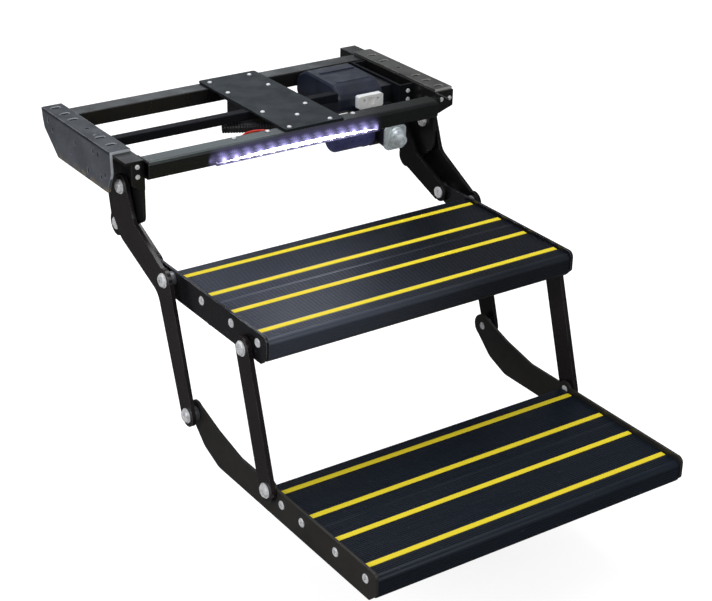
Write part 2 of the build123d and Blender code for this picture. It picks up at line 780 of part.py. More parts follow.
def front_link():
    """Return the right link between the two treads."""
    web = strap(link_top, link_end, link_half_width)
    web -= disc(link_top, pivot_r + run_fit) + disc(link_end, pivot_r + run_fit)
    return plate(web, link_in, link_out)


for name, side in sides.items():
    save(f"main_arm_{name}", handed(main_arm(), side))
    save(f"front_link_{name}", handed(front_link(), side))
save("level_arm_right", level_arm(shaft_r + run_fit))
save("level_arm_left", handed(level_arm(pivot_r + run_fit), -1))

# Pivot hardware, each group on the piece that holds it
arm_seat = arm_out + side_gap
link_seat = link_out + side_gap
bracket_tip = bracket_in + side_gap
nut_in = bracket_in
save("arm_pivot_bolts", both(pivot_bolt(arm_pivot, arm_seat, nut_in - side_gap)))
save("arm_pivot_nuts", both(pivot_nut(arm_pivot, nut_in, plate_in)))
save("arm_pivot_spacers", both(ring(arm_pivot, spacer_r, pivot_r + seat_fit, plate_out, arm_in - side_gap)))
save("tread_pivot_bolts", both(pivot_bolt(upper_pivot, arm_seat, bracket_tip)))
save("tread_pivot_spacers",
     both(ring(upper_pivot, spacer_r, pivot_r + seat_fit, bracket_out, arm_in - side_gap)))
save("lower_pivot_bolts", both(pivot_bolt(lower_pivot, arm_seat, bracket_tip)))
save("lower_pivot_spacers",
     both(ring(lower_pivot, spacer_r, pivot_r + seat_fit, bracket_out, arm_in - side_gap)))
save("link_top_bolts", both(pivot_bolt(link_top, link_seat, bracket_tip, link_head_height)))
save("link_end_bolts", both(pivot_bolt(link_end, link_seat, bracket_tip, link_head_height)))
save("link_top_washers",
     both(ring(link_top, spacer_r, pivot_r + seat_fit, bracket_out, link_in - side_gap)))
save("link_end_washers",
     both(ring(link_end, spacer_r, pivot_r + seat_fit, bracket_out, link_in - side_gap)))


def level_pin():
    """Return the right pin that joins a levelling arm to the upper bracket."""
    head = rod(level_end, 9.0, bracket_out, bracket_out + 3.5)
    head = chamfer(head.edges().group_by(Axis.X)[-1], 1.0)
    tail = rod(level_end, 9.0, level_in - side_gap - 3, level_in - side_gap)
    return head + tail + rod(level_end, pivot_r, level_in - side_gap, bracket_out)


def level_pivot_bolt():
    """Return the left bolt on which the levelling arm turns."""
    head = rod(level_pivot, 9.0, level_in - side_gap - 5, level_in - side_gap)
    head = chamfer(head.edges().group_by(Axis.X)[0], 1.0)
    tail = rod(level_pivot, 9.0, plate_out, plate_out + 3.3)
    return mirror(head + tail + rod(level_pivot, pivot_r, level_in - side_gap, plate_out), about=Plane.YZ)


def output_shaft():
    """Return the gearbox output shaft, which carries the right levelling arm."""
    shaft = rod(level_pivot, shaft_r, gearbox_x[0] + 2, plate_out)
    collar = ring(level_pivot, shaft_r + 4, shaft_r - 1, gearbox_x[1] + 0.5, level_in)
    return shaft + collar


save("level_pins", both(level_pin()))
save("level_pivot_bolt", level_pivot_bolt())
save("output_shaft", output_shaft())
save("level_spacers",
     [ring(level_pivot, spacer_r, shaft_r + seat_fit, board_half + side_gap, plate_in),
      mirror(ring(level_pivot, spacer_r, pivot_r + seat_fit, board_half + side_gap, plate_in),
             about=Plane.YZ)])


def stop_roller():
    """Return the right rubber roller on which the folded step comes to rest."""
    return ring(stop_pivot, stop_roller_r, pivot_r + seat_fit, bracket_in + side_gap, plate_in - side_gap)


def stop_bolt():
    """Return the right bolt of the stop roller, its low head against the side plate."""
    head = rod(stop_pivot, 9.5, plate_out, plate_out + 3.2)
    head = chamfer(head.edges().group_by(Axis.X)[-1], 1.0)
    return head + rod(stop_pivot, pivot_r, bracket_in + side_gap, plate_out)


def tread_buffer():
    """Return the right rubber buffer under the upper tread, which meets the lower tread when folded."""
    top = upper_top - board_height
    centre = Pos(buffer_x, upper_rear - buffer_in, (top + buffer_bottom) / 2)
    body = centre * Cylinder(buffer_r, top - buffer_bottom)
    return chamfer(body.edges().group_by(Axis.Z)[0], 2.0)


save("tread_buffers", both(tread_buffer()))
save("stop_rollers", both(stop_roller()))
save("stop_bolts", both(stop_bolt()))
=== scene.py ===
"""Finishes, small fittings, light and camera for an electric folding caravan step."""

from __future__ import annotations

import json
import logging
import math
from dataclasses import dataclass, field
from enum import Enum
from typing import Iterable, Protocol

import bpy
from mathutils import Matrix, Vector

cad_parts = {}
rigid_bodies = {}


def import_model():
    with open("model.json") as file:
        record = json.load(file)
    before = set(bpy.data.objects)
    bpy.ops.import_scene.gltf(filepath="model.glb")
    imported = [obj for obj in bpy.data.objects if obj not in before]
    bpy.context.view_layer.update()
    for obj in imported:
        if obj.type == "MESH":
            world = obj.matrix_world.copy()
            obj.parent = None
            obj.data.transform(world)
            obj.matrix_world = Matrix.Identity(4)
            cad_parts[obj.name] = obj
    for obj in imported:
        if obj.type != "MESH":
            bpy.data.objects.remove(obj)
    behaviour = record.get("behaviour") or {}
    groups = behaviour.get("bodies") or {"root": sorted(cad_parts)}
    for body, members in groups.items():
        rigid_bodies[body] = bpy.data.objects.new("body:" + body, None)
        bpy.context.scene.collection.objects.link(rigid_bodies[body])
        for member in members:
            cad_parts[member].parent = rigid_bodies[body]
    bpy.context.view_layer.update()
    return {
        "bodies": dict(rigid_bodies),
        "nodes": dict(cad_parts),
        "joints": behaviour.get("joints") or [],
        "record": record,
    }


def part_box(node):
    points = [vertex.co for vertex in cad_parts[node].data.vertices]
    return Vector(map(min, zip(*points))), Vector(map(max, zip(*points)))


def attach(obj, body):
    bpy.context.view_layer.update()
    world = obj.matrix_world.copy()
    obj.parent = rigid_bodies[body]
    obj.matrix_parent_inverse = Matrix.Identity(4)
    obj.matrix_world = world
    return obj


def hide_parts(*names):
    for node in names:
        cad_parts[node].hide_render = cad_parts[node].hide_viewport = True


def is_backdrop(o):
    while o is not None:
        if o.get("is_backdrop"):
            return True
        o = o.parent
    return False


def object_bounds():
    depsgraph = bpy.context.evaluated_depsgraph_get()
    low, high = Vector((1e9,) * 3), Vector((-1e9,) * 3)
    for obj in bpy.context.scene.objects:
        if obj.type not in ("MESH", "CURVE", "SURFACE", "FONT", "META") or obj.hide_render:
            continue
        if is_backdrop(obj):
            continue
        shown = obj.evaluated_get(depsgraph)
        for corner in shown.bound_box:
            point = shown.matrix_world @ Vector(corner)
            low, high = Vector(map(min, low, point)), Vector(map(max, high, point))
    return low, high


LOG = logging.getLogger("caravan_step")
MM = 0.001

Colour = tuple[float, float, float]
Point = tuple[float, float, float]


class Body(Enum):
    """The moving groups of the step."""

    FRAME = "frame"
    MAIN_ARMS = "main_arms"
    LEVEL_ARMS = "level_arms"
    UPPER_TREAD = "upper_tread"
    FRONT_LINKS = "front_links"
    LOWER_TREAD = "lower_tread"


class Side(Enum):
    """The two sides of the step, with the sign of X on each."""

    LEFT = -1
    RIGHT = 1


class Finish(Protocol):
    """Anything that makes one named material."""

    name: str

    def material(self) -> bpy.types.Material:
        """Return the finish's material."""


class Graph:
    """A material's nodes, with the few that every finish here is made of."""

    def __init__(self, name: str) -> None:
        """Start a material with one Principled shader.

        Args:
            name: The material's name.
        """
        self.material = bpy.data.materials.new(name)
        self.material.use_nodes = True
        self.tree = self.material.node_tree
        self.shader = self.tree.nodes["Principled BSDF"]
        self.coords = self.tree.nodes.new("ShaderNodeTexCoord").outputs["Object"]

    def node(self, kind: str, **settings: object) -> bpy.types.Node:
        """Add a node and set its properties.

        Args:
            kind: The node's Blender type.
            **settings: Properties of the node.

        Returns:
            The new node.
        """
        made = self.tree.nodes.new(kind)
        for key, value in settings.items():
            setattr(made, key, value)
        return made

    def link(self, source: bpy.types.NodeSocket, target: bpy.types.NodeSocket) -> None:
        """Join two sockets."""
        self.tree.links.new(source, target)

    def put(self, **values: object) -> None:
        """Set the shader's own sockets; an underscore stands for a space.

        Args:
            **values: Numbers, colours or sockets by socket name.
        """
        for key, value in values.items():
            socket = self.shader.inputs[key.replace("_", " ")]
            if isinstance(value, bpy.types.NodeSocket):
                self.link(value, socket)
            else:
                socket.default_value = (*value, 1.0) if isinstance(value, tuple) else value

    def axes(self) -> tuple[bpy.types.NodeSocket, ...]:
        """Return the object coordinates' X, Y and Z."""
        split = self.node("ShaderNodeSeparateXYZ")
        self.link(self.coords, split.inputs[0])
        return tuple(split.outputs[axis] for axis in "XYZ")

    def stretched(self, scale: Point) -> bpy.types.NodeSocket:
        """Return the object coordinates scaled along each axis."""
        mapping = self.node("ShaderNodeMapping")
        mapping.inputs["Scale"].default_value = scale
        self.link(self.coords, mapping.inputs["Vector"])
        return mapping.outputs["Vector"]

    def noise(self, scale: float, detail: float = 4.0, rough: float = 0.55,
              stretch: Point = (1.0, 1.0, 1.0)) -> bpy.types.NodeSocket:
        """Return fractal noise over the object.

        Args:
            scale: Cells to the metre.
            detail: Octaves.
            rough: Weight of the finer octaves.
            stretch: Scale along each axis.

        Returns:
            The noise's factor socket.
        """
        made = self.node("ShaderNodeTexNoise")
        made.inputs["Scale"].default_value = scale
        made.inputs["Detail"].default_value = detail
        made.inputs["Roughness"].default_value = rough
        self.link(self.stretched(stretch), made.inputs["Vector"])
        return made.outputs["Fac"]

    def remap(self, value: bpy.types.NodeSocket, low: float, high: float,
              to_low: float = 0.0, to_high: float = 1.0) -> bpy.types.NodeSocket:
        """Return a value mapped from one range to another, held at its ends."""
        made = self.node("ShaderNodeMapRange", interpolation_type="SMOOTHSTEP")
        for key, number in (("From Min", low), ("From Max", high), ("To Min", to_low), ("To Max", to_high)):
            made.inputs[key].default_value = number
        self.link(value, made.inputs["Value"])
        return made.outputs["Result"]

    def maths(self, operation: str, first: object, second: object = 0.5) -> bpy.types.NodeSocket:
        """Return the result of a Math node on two sockets or numbers."""
        made = self.node("ShaderNodeMath", operation=operation)
        for socket, value in zip(made.inputs, (first, second)):
            if isinstance(value, bpy.types.NodeSocket):
                self.link(value, socket)
            else:
                socket.default_value = value
        return made.outputs[0]

    def product(self, first: object, *others: object) -> bpy.types.NodeSocket:
        """Return the product of sockets and numbers."""
        for other in others:
            first = self.maths("MULTIPLY", first, other)
        return first

    def near(self, value: bpy.types.NodeSocket, place: float, reach: float) -> bpy.types.NodeSocket:
        """Return 1 where a value is within a reach of a place, and 0 elsewhere."""
        made = self.maths("COMPARE", value, place)
        made.node.inputs[2].default_value = reach
        return made

    def mix(self, amount: bpy.types.NodeSocket, first: object, second: object) -> bpy.types.NodeSocket:
        """Mix two colours.

        Args:
            amount: Share of the second colour.
            first: A colour or a socket.
            second: A colour or a socket.

        Returns:
            The mixed colour's socket.
        """
        made = self.node("ShaderNodeMix", data_type="RGBA")
        self.link(amount, made.inputs["Factor"])
        for key, value in (("A", first), ("B", second)):
            socket = next(s for s in made.inputs if s.name == key and s.type == "RGBA")
            if isinstance(value, bpy.types.NodeSocket):
                self.link(value, socket)
            else:
                socket.default_value = (*value, 1.0)
        return next(s for s in made.outputs if s.type == "RGBA")

    def edges(self, radius: float, low: float, high: float) -> bpy.types.NodeSocket:
        """Return a mask that is 1 along the outer edges of the shape.

        Args:
            radius: Width of the edge in metres.
            low: Bend of the surface at which the mask starts.
            high: Bend at which it is full.

        Returns:
            The mask's socket.
        """
        bevel = self.node("ShaderNodeBevel", samples=6)
        bevel.inputs["Radius"].default_value = radius
        geometry = self.node("ShaderNodeNewGeometry")
        dot = self.node("ShaderNodeVectorMath", operation="DOT_PRODUCT")
        self.link(bevel.outputs["Normal"], dot.inputs[0])
        self.link(geometry.outputs["True Normal"], dot.inputs[1])
        bend = self.maths("SUBTRACT", 1.0, dot.outputs["Value"])
        return self.remap(bend, low, high)

    def bump(self, height: bpy.types.NodeSocket, distance: float, strength: float = 1.0,
             rounding: float = 0.0) -> None:
        """Drive the shader's normal from a height.

        Args:
            height: The height's socket, from 0 to 1.
            distance: The height of 1 in metres.
            strength: Share of the bump that shows.
            rounding: Radius to which hard edges look rounded, in metres.
        """
        made = self.node("ShaderNodeBump")
        made.inputs["Distance"].default_value = distance
        made.inputs["Strength"].default_value = strength
        self.link(height, made.inputs["Height"])
        if rounding:
            bevel = self.node("ShaderNodeBevel", samples=6)
            bevel.inputs["Radius"].default_value = rounding
            self.link(bevel.outputs["Normal"], made.inputs["Normal"])
        self.put(Normal=made.outputs["Normal"])


@dataclass(frozen=True)
class PowderCoat:
    """Baked coating on steel, with edges painted lighter (partly rubbed wear, partly a painted edge
    highlight), fine peel and faint scratches.
    """

    name: str
    colour: Colour
    worn_and_highlight_colour: Colour = (0.16, 0.17, 0.19)
    edge_wear_and_highlight: float = 0.5
    roughness: float = 0.3
    cloud: float = 0.25
    gloss: float = 0.5

    def material(self) -> bpy.types.Material:
        """Make the coating's nodes.

        Returns:
            The material.
        """
        graph = Graph(self.name)
        clouds = graph.remap(graph.noise(9.0, 5.0), 0.3, 0.7)
        lighter = tuple(channel * (1.0 + 2.4 * self.cloud) + 0.004 * self.cloud for channel in self.colour)
        base = graph.mix(clouds, self.colour, lighter)
        scratches = graph.remap(graph.noise(60.0, 3.0, 0.7, (9.0, 1.0, 1.6)), 0.7, 0.78, 0.0, 0.35)
        base = graph.mix(scratches, base, self.worn_and_highlight_colour)
        patches = graph.remap(graph.noise(38.0, 4.0, 0.6), 0.36, 0.62)
        # Edges painted lighter in patches: partly rubbed wear, partly a painted edge highlight.
        rim = graph.product(graph.edges(0.9 * MM, 0.02, 0.22), patches, self.edge_wear_and_highlight)
        graph.put(Base_Color=graph.mix(rim, base, self.worn_and_highlight_colour))
        rough = graph.remap(graph.noise(26.0, 6.0), 0.25, 0.75, self.roughness - 0.06, self.roughness + 0.1)
        graph.put(Roughness=rough, Specular_IOR_Level=self.gloss)
        graph.bump(graph.noise(900.0, 2.0), 0.05 * MM, 0.5, rounding=0.5 * MM)
        return graph.material


@dataclass(frozen=True)
class RubbedAngle:
    """Mounting angle's thin dark coat: mottled skirt, rubbed rims and bare cut ends and slot walls."""

    name: str
    top: Colour
    skirt: Colour
    bare: Colour
    slot_rows: tuple[float, ...]
    slot_middle: float
    front_end: float
    side: int
    slot_reach: tuple[float, float] = (8.4 * MM, 4.9 * MM)
    slot_wall: float = 1.7 * MM
    end_depth: float = 4 * MM
    stain: Colour = (0.3, 0.24, 0.15)

    def material(self) -> bpy.types.Material:
        """Make the angle's nodes.

        Returns:
            The material.
        """
        graph = Graph(self.name)
        x, y, z = graph.axes()
        # Top and skirt take separate colours, which angle_finish sets differently on each side as painted
        # light and shade.
        below = graph.remap(z, -6 * MM, -3 * MM, 1.0, 0.0)
        base = graph.mix(below, self.top, self.skirt)
        mottle = graph.remap(graph.noise(16.0, 6.0, 0.62), 0.36, 0.66)
        base = graph.mix(graph.product(mottle, 0.55), base, tuple(c * 0.5 for c in self.skirt))
        scratch = graph.remap(graph.noise(42.0, 3.0, 0.7, (1.0, 0.6, 7.0)), 0.66, 0.76, 0.0, 0.5)
        base = graph.mix(scratch, base, self.bare)
        specks = graph.remap(graph.noise(520.0, 2.0), 0.66, 0.76, 0.0, 0.35)
        base = graph.mix(specks, base, self.bare)
        low = graph.remap(z, -66 * MM, -52 * MM, 1.0, 0.0)
        stain = graph.product(low, graph.remap(graph.noise(60.0, 5.0), 0.4, 0.62, 0.0, 0.85))
        base = graph.mix(stain, base, self.stain)
        patches = graph.remap(graph.noise(70.0), 0.3, 0.55)
        rim = graph.product(graph.edges(1.1 * MM, 0.015, 0.14), patches, 0.85)
        base = graph.mix(rim, base, self.bare)
        upright, endwise = self.facings(graph)
        ends = graph.product(graph.maths("LESS_THAN", y, self.front_end + self.end_depth), endwise)
        along, across = self.slot_reach
        rows = graph.near(y, -self.side * self.slot_rows[0], across)
        for place in self.slot_rows[1:]:
            rows = graph.maths("MAXIMUM", rows, graph.near(y, -self.side * place, across))
        walls = graph.product(graph.near(x, self.side * self.slot_middle, along), rows, upright,
                              graph.maths("GREATER_THAN", z, -self.slot_wall))
        graph.put(Base_Color=graph.mix(graph.maths("MAXIMUM", ends, walls), base, self.bare))
        graph.put(Roughness=graph.remap(graph.noise(30.0, 6.0), 0.25, 0.75, 0.3, 0.48))
        graph.bump(graph.noise(700.0, 3.0), 0.06 * MM, 0.6, rounding=0.7 * MM)
        return graph.material

    @staticmethod
    def facings(graph: Graph) -> tuple[bpy.types.NodeSocket, bpy.types.NodeSocket]:
        """Mask faces by the way they face.

        Args:
            graph: The material's nodes.

        Returns:
            A mask of the upright faces, and one of those that face along Y.
        """
        geometry = graph.node("ShaderNodeNewGeometry")
        turned = graph.node("ShaderNodeVectorTransform", vector_type="NORMAL", convert_from="WORLD",
                            convert_to="OBJECT")
        graph.link(geometry.outputs["True Normal"], turned.inputs[0])
        split = graph.node("ShaderNodeSeparateXYZ")
        graph.link(turned.outputs[0], split.inputs[0])
        upright = graph.remap(graph.maths("ABSOLUTE", split.outputs["Z"]), 0.3, 0.6, 1.0, 0.0)
        endwise = graph.remap(graph.maths("ABSOLUTE", split.outputs["Y"]), 0.5, 0.8)
        return upright, endwise


@dataclass(frozen=True)
class TreadMetal:
    """Dark anodised extrusion, drawn and brushed along its length."""

    name: str
    colour: Colour
    sheen: Colour
    roughness: float = 0.34
    metallic: float = 0.2
    lips: tuple[float, ...] = ()
    lip_colour: Colour = (0.3, 0.31, 0.37)
    lip_strength: float = 0.5
    lip_reach: float = 0.75 * MM
    # Painted reflection: strength, colour and X span of a lightening towards the left of the tread.
    left_reflection: float = 0.0
    left_reflection_colour: Colour = (0.07, 0.083, 0.118)
    left_reflection_span: tuple[float, float] = (-0.2, 0.15)

    def material(self) -> bpy.types.Material:
        """Make the extrusion's nodes, with a painted reflection lightening the left part and lips beside the
        grip strips painted lighter, partly rubbed wear and partly a painted highlight.

        Returns:
            The material.
        """
        graph = Graph(self.name)
        streaks = graph.noise(30.0, 5.0, 0.6, (0.5, 26.0, 26.0))
        clouds = graph.remap(graph.noise(5.0, 3.0), 0.3, 0.7, 0.0, 0.5)
        blend = graph.maths("ADD", graph.remap(streaks, 0.35, 0.7, 0.0, 0.5), clouds)
        base = graph.mix(blend, self.colour, self.sheen)
        dust = graph.remap(graph.noise(260.0, 2.0, 0.5, (0.4, 1.0, 1.0)), 0.72, 0.8, 0.0, 0.4)
        base = graph.mix(dust, base, (0.2, 0.21, 0.23))
        x, y, _ = graph.axes()
        # Painted reflection: the base colour is lightened towards the left end, standing in for a reflection
        # of the lamps.
        leftward = graph.remap(x, *self.left_reflection_span, 1.0, 0.0)
        base = graph.mix(graph.product(leftward, self.left_reflection), base, self.left_reflection_colour)
        # The lips beside the grip strips are painted lighter, more so towards the left and on the upper
        # tread: partly rubbed wear, partly a painted highlight.
        rubbed = graph.remap(graph.noise(7.0, 3.0, 0.5, (1.0, 3.0, 1.0)), 0.34, 0.62, 0.25, 1.0)
        rubbed = graph.product(rubbed, graph.remap(leftward, 0.0, 0.6, 0.3, 1.0), self.lip_strength)
        for place in self.lips:
            lip = graph.product(graph.near(y, place, self.lip_reach), rubbed)
            base = graph.mix(lip, base, self.lip_colour)
        graph.put(Base_Color=base, Metallic=self.metallic)
        graph.put(Roughness=graph.remap(streaks, 0.2, 0.8, self.roughness - 0.07, self.roughness + 0.1))
        graph.bump(streaks, 0.04 * MM, 0.22, rounding=0.25 * MM)
        return graph.material


@dataclass(frozen=True)
class GripInsert:
    """Matt grip strip with a fine grain and light soiling."""

    name: str
    colour: Colour

    def material(self) -> bpy.types.Material:
        """Make the strip's nodes.

        Returns:
            The material.
        """
        graph = Graph(self.name)
        soil = graph.remap(graph.noise(45.0, 5.0, 0.6, (0.3, 1.0, 1.0)), 0.52, 0.78, 0.0, 0.3)
        shade = tuple(channel * 0.62 for channel in self.colour)
        graph.put(Base_Color=graph.mix(soil, self.colour, shade))
        graph.put(Roughness=graph.remap(graph.noise(120.0), 0.3, 0.7, 0.42, 0.6))
        graph.bump(graph.noise(1400.0, 2.0), 0.08 * MM, 0.6)
        return graph.material


@dataclass(frozen=True)
class PlatedSteel:
    """Zinc plated steel with a slightly cloudy shine."""

    name: str
    colour: Colour
    roughness: float = 0.26
    metallic: float = 0.45

    def material(self) -> bpy.types.Material:
        """Make the plating's nodes.

        Returns:
            The material.
        """
        graph = Graph(self.name)
        clouds = graph.noise(160.0, 4.0)
        dull = tuple(channel * 0.55 for channel in self.colour)
        base = graph.mix(graph.remap(clouds, 0.4, 0.75), self.colour, dull)
        graph.put(Base_Color=base, Metallic=self.metallic)
        graph.put(Roughness=graph.remap(clouds, 0.3, 0.7, self.roughness - 0.06, self.roughness + 0.14))
        graph.bump(graph.noise(700.0, 3.0), 0.06 * MM, 0.5, rounding=0.5 * MM)
        return graph.material


@dataclass(frozen=True)
class Moulding:
    """Moulded plastic or rubber with a fine grain."""

    name: str
    colour: Colour
    roughness: float = 0.42
    grain: float = 1100.0
    depth: float = 0.05
    edge_rub_and_highlight: float = 0.35

    def material(self) -> bpy.types.Material:
        """Make the moulding's nodes.

        Returns:
            The material.
        """
        graph = Graph(self.name)
        clouds = graph.remap(graph.noise(22.0, 4.0), 0.35, 0.7)
        pale = tuple(min(1.0, channel * 1.5 + 0.004) for channel in self.colour)
        base = graph.mix(clouds, self.colour, pale)
        # Edges painted lighter: partly rubbed wear, partly a painted highlight on ridges and rims.
        rim = graph.product(graph.edges(1.4 * MM, 0.02, 0.3), self.edge_rub_and_highlight)
        rubbed = tuple(min(1.0, channel * 3.0 + 0.03) for channel in self.colour)
        graph.put(Base_Color=graph.mix(rim, base, rubbed))
        rough = graph.remap(graph.noise(60.0), 0.3, 0.7, self.roughness - 0.07, self.roughness + 0.09)
        graph.put(Roughness=rough)
        graph.bump(graph.noise(self.grain, 2.0), self.depth * MM, 0.6, rounding=0.8 * MM)
        return graph.material


@dataclass(frozen=True)
class LeadInsulation:
    """Insulation of three leads that lie one above the other and share a black sheath at one end."""

    name: str
    colours: tuple[Colour, Colour, Colour]
    middle: float
    pitch: float
    sheath: tuple[float, float]
    sheath_colour: Colour = (0.012, 0.012, 0.014)

    def material(self) -> bpy.types.Material:
        """Make the leads' nodes.

        Returns:
            The material.
        """
        graph = Graph(self.name)
        x, _, z = graph.axes()
        lowest, between, highest = self.colours
        base = graph.mix(graph.maths("GREATER_THAN", z, self.middle - 0.5 * self.pitch), lowest, between)
        base = graph.mix(graph.maths("GREATER_THAN", z, self.middle + 0.5 * self.pitch), base, highest)
        for end, sign in zip(self.sheath, (-1.0, 1.0)):
            base = graph.mix(graph.remap(x, end, end + sign * 2 * MM), base, self.sheath_colour)
        soil = graph.remap(graph.noise(180.0, 3.0), 0.55, 0.75, 0.0, 0.3)
        graph.put(Base_Color=graph.mix(soil, base, (0.03, 0.025, 0.02)))
        graph.put(Roughness=graph.remap(graph.noise(90.0), 0.3, 0.7, 0.28, 0.45))
        graph.bump(graph.noise(900.0, 2.0), 0.04 * MM, 0.5)
        return graph.material


@dataclass(frozen=True)
class LampGlow:
    """The light thrown round each small lamp: a hot core, a star of rays and a haze."""

    colour: Colour
    lamp_pitch: float
    first_lamp: float
    foot: float
    top: float
    ends: tuple[float, float]
    rays: float = 17.0
    star_reach: tuple[float, float] = (1.5 * MM, 15 * MM)
    core_reach: float = 7 * MM

    def amount(self, graph: Graph, x: bpy.types.NodeSocket, z: bpy.types.NodeSocket) -> bpy.types.NodeSocket:
        """Return how brightly a place shines.

        Args:
            graph: The material's nodes.
            x: The place's X.
            z: The place's Z.

        Returns:
            The strength's socket.
        """
        half = 0.5 * self.lamp_pitch
        across = graph.maths("WRAP", graph.maths("SUBTRACT", x, self.first_lamp), -half)
        across.node.inputs[2].default_value = half
        above = graph.maths("SUBTRACT", z, self.foot)
        square = graph.maths("ADD", graph.product(across, across), graph.product(above, above))
        away = graph.maths("SQRT", square)
        angle = graph.product(graph.maths("ARCTAN2", above, across), self.rays)
        spokes = graph.remap(graph.maths("COSINE", angle), -0.2, 1.0, 0.3, 1.0)
        star = graph.product(graph.maths("POWER", graph.remap(away, *self.star_reach, 1.0, 0.0), 1.6), spokes)
        core = graph.maths("POWER", graph.remap(away, 0.0, self.core_reach, 1.0, 0.0), 2.0)
        haze = graph.remap(z, self.foot, self.top + 4 * MM, 0.15, 0.03)
        total = graph.maths("ADD", haze, graph.product(star, 1.1))
        total = graph.maths("ADD", total, graph.product(core, 2.4))
        left = graph.remap(x, self.ends[0] - 12 * MM, self.ends[0] + 12 * MM)
        right = graph.remap(x, self.ends[1] - 30 * MM, self.ends[1] + 10 * MM, 1.0, 0.0)
        return graph.product(total, left, right)


@dataclass(frozen=True)
class LitLens:
    """Frosted lens, lit from behind by a row of small lamps along its lower half."""

    name: str
    colour: Colour
    strength: float
    glow: LampGlow
    base: float
    unlit: Colour = (0.06, 0.06, 0.1)
    frosted: Colour = (0.9, 0.9, 0.95)
    rise: tuple[float, float] = (1.5 * MM, -3.5 * MM)
    lip: tuple[float, float] = (1.9 * MM, 2.6 * MM)

    def material(self) -> bpy.types.Material:
        """Make the lens's nodes.

        Returns:
            The material.
        """
        graph = Graph(self.name)
        x, _, z = graph.axes()
        left, right = self.glow.ends
        from_middle = graph.maths("ABSOLUTE", graph.maths("SUBTRACT", x, 0.5 * (left + right)))
        out = graph.maths("POWER", graph.maths("DIVIDE", from_middle, 0.5 * (right - left)), 2.0)
        band_top = graph.remap(out, 0.0, 1.0, *self.rise)
        above_band = graph.maths("SUBTRACT", graph.maths("SUBTRACT", z, self.glow.foot), band_top)
        lit = graph.remap(above_band, -0.5 * MM, 0.7 * MM, 1.0, 0.0)
        graph.put(Base_Color=graph.mix(lit, self.unlit, self.frosted), Roughness=0.3)
        graph.put(Emission_Color=graph.mix(lit, self.glow.colour, self.colour))
        over_lip = graph.remap(z, *(self.base + height for height in self.lip))
        below = graph.product(lit, self.strength, over_lip)
        above = graph.product(graph.maths("SUBTRACT", 1.0, lit), self.glow.amount(graph, x, z))
        graph.put(Emission_Strength=graph.maths("ADD", below, above))
        graph.bump(graph.noise(500.0, 2.0), 0.03 * MM, 0.4)
        return graph.material


@dataclass(frozen=True)
class WashedCoat:
    """Black coating washed by the light before it, with a painted reflection lightening the left part of its
    top and a small burn by the weld.
    """

    name: str
    colour: Colour
    glow: LampGlow
    front: float
    # Colour of the painted reflection on the left part of the top face.
    rubbed: Colour = (0.05, 0.072, 0.074)
    top_reflection_span: tuple[float, float] = (-0.1, -0.02)
    burn_span: tuple[float, float] = (-0.252, -0.236)
    burnt: Colour = (0.22, 0.24, 0.1)
    worn_and_highlight_colour: Colour = (0.2, 0.2, 0.24)

    def material(self) -> bpy.types.Material:
        """Make the coating's nodes.

        Returns:
            The material.
        """
        graph = Graph(self.name)
        x, y, z = graph.axes()
        clouds = graph.remap(graph.noise(7.0, 5.0), 0.3, 0.7)
        greenish = (self.colour[0] * 1.5, self.colour[1] * 1.8, self.colour[2] * 1.7)
        base = graph.mix(clouds, self.colour, greenish)
        up = graph.remap(z, self.glow.top - 3.5 * MM, self.glow.top - 0.3 * MM)
        streaks = graph.remap(graph.noise(14.0, 4.0, 0.6, (0.35, 3.0, 1.0)), 0.3, 0.7, 0.55, 1.0)
        # Painted reflection: the top face is lightened towards its left end, standing in for a reflection,
        # not chalk or rubbing.
        top_reflection = graph.product(up, graph.remap(x, *self.top_reflection_span, 0.8, 0.0), streaks)
        base = graph.mix(top_reflection, base, self.rubbed)
        specks = graph.remap(graph.noise(160.0, 3.0), 0.56, 0.64, 0.0, 0.55)
        burn = graph.product(graph.remap(x, *self.burn_span, 1.0, 0.0), specks, up)
        base = graph.mix(burn, base, self.burnt)
        # Edges painted lighter: partly wear, partly a painted edge highlight.
        rim = graph.product(graph.edges(0.9 * MM, 0.02, 0.22), 0.35)
        graph.put(Base_Color=graph.mix(rim, base, self.worn_and_highlight_colour), Roughness=0.27)
        facing = graph.remap(y, self.front + 1 * MM, self.front + 6 * MM, 1.0, 0.0)
        glow = graph.product(self.glow.amount(graph, x, z), facing)
        graph.put(Emission_Color=self.glow.colour, Emission_Strength=glow)
        graph.bump(graph.noise(900.0, 2.0), 0.05 * MM, 0.5, rounding=1.2 * MM)
        return graph.material


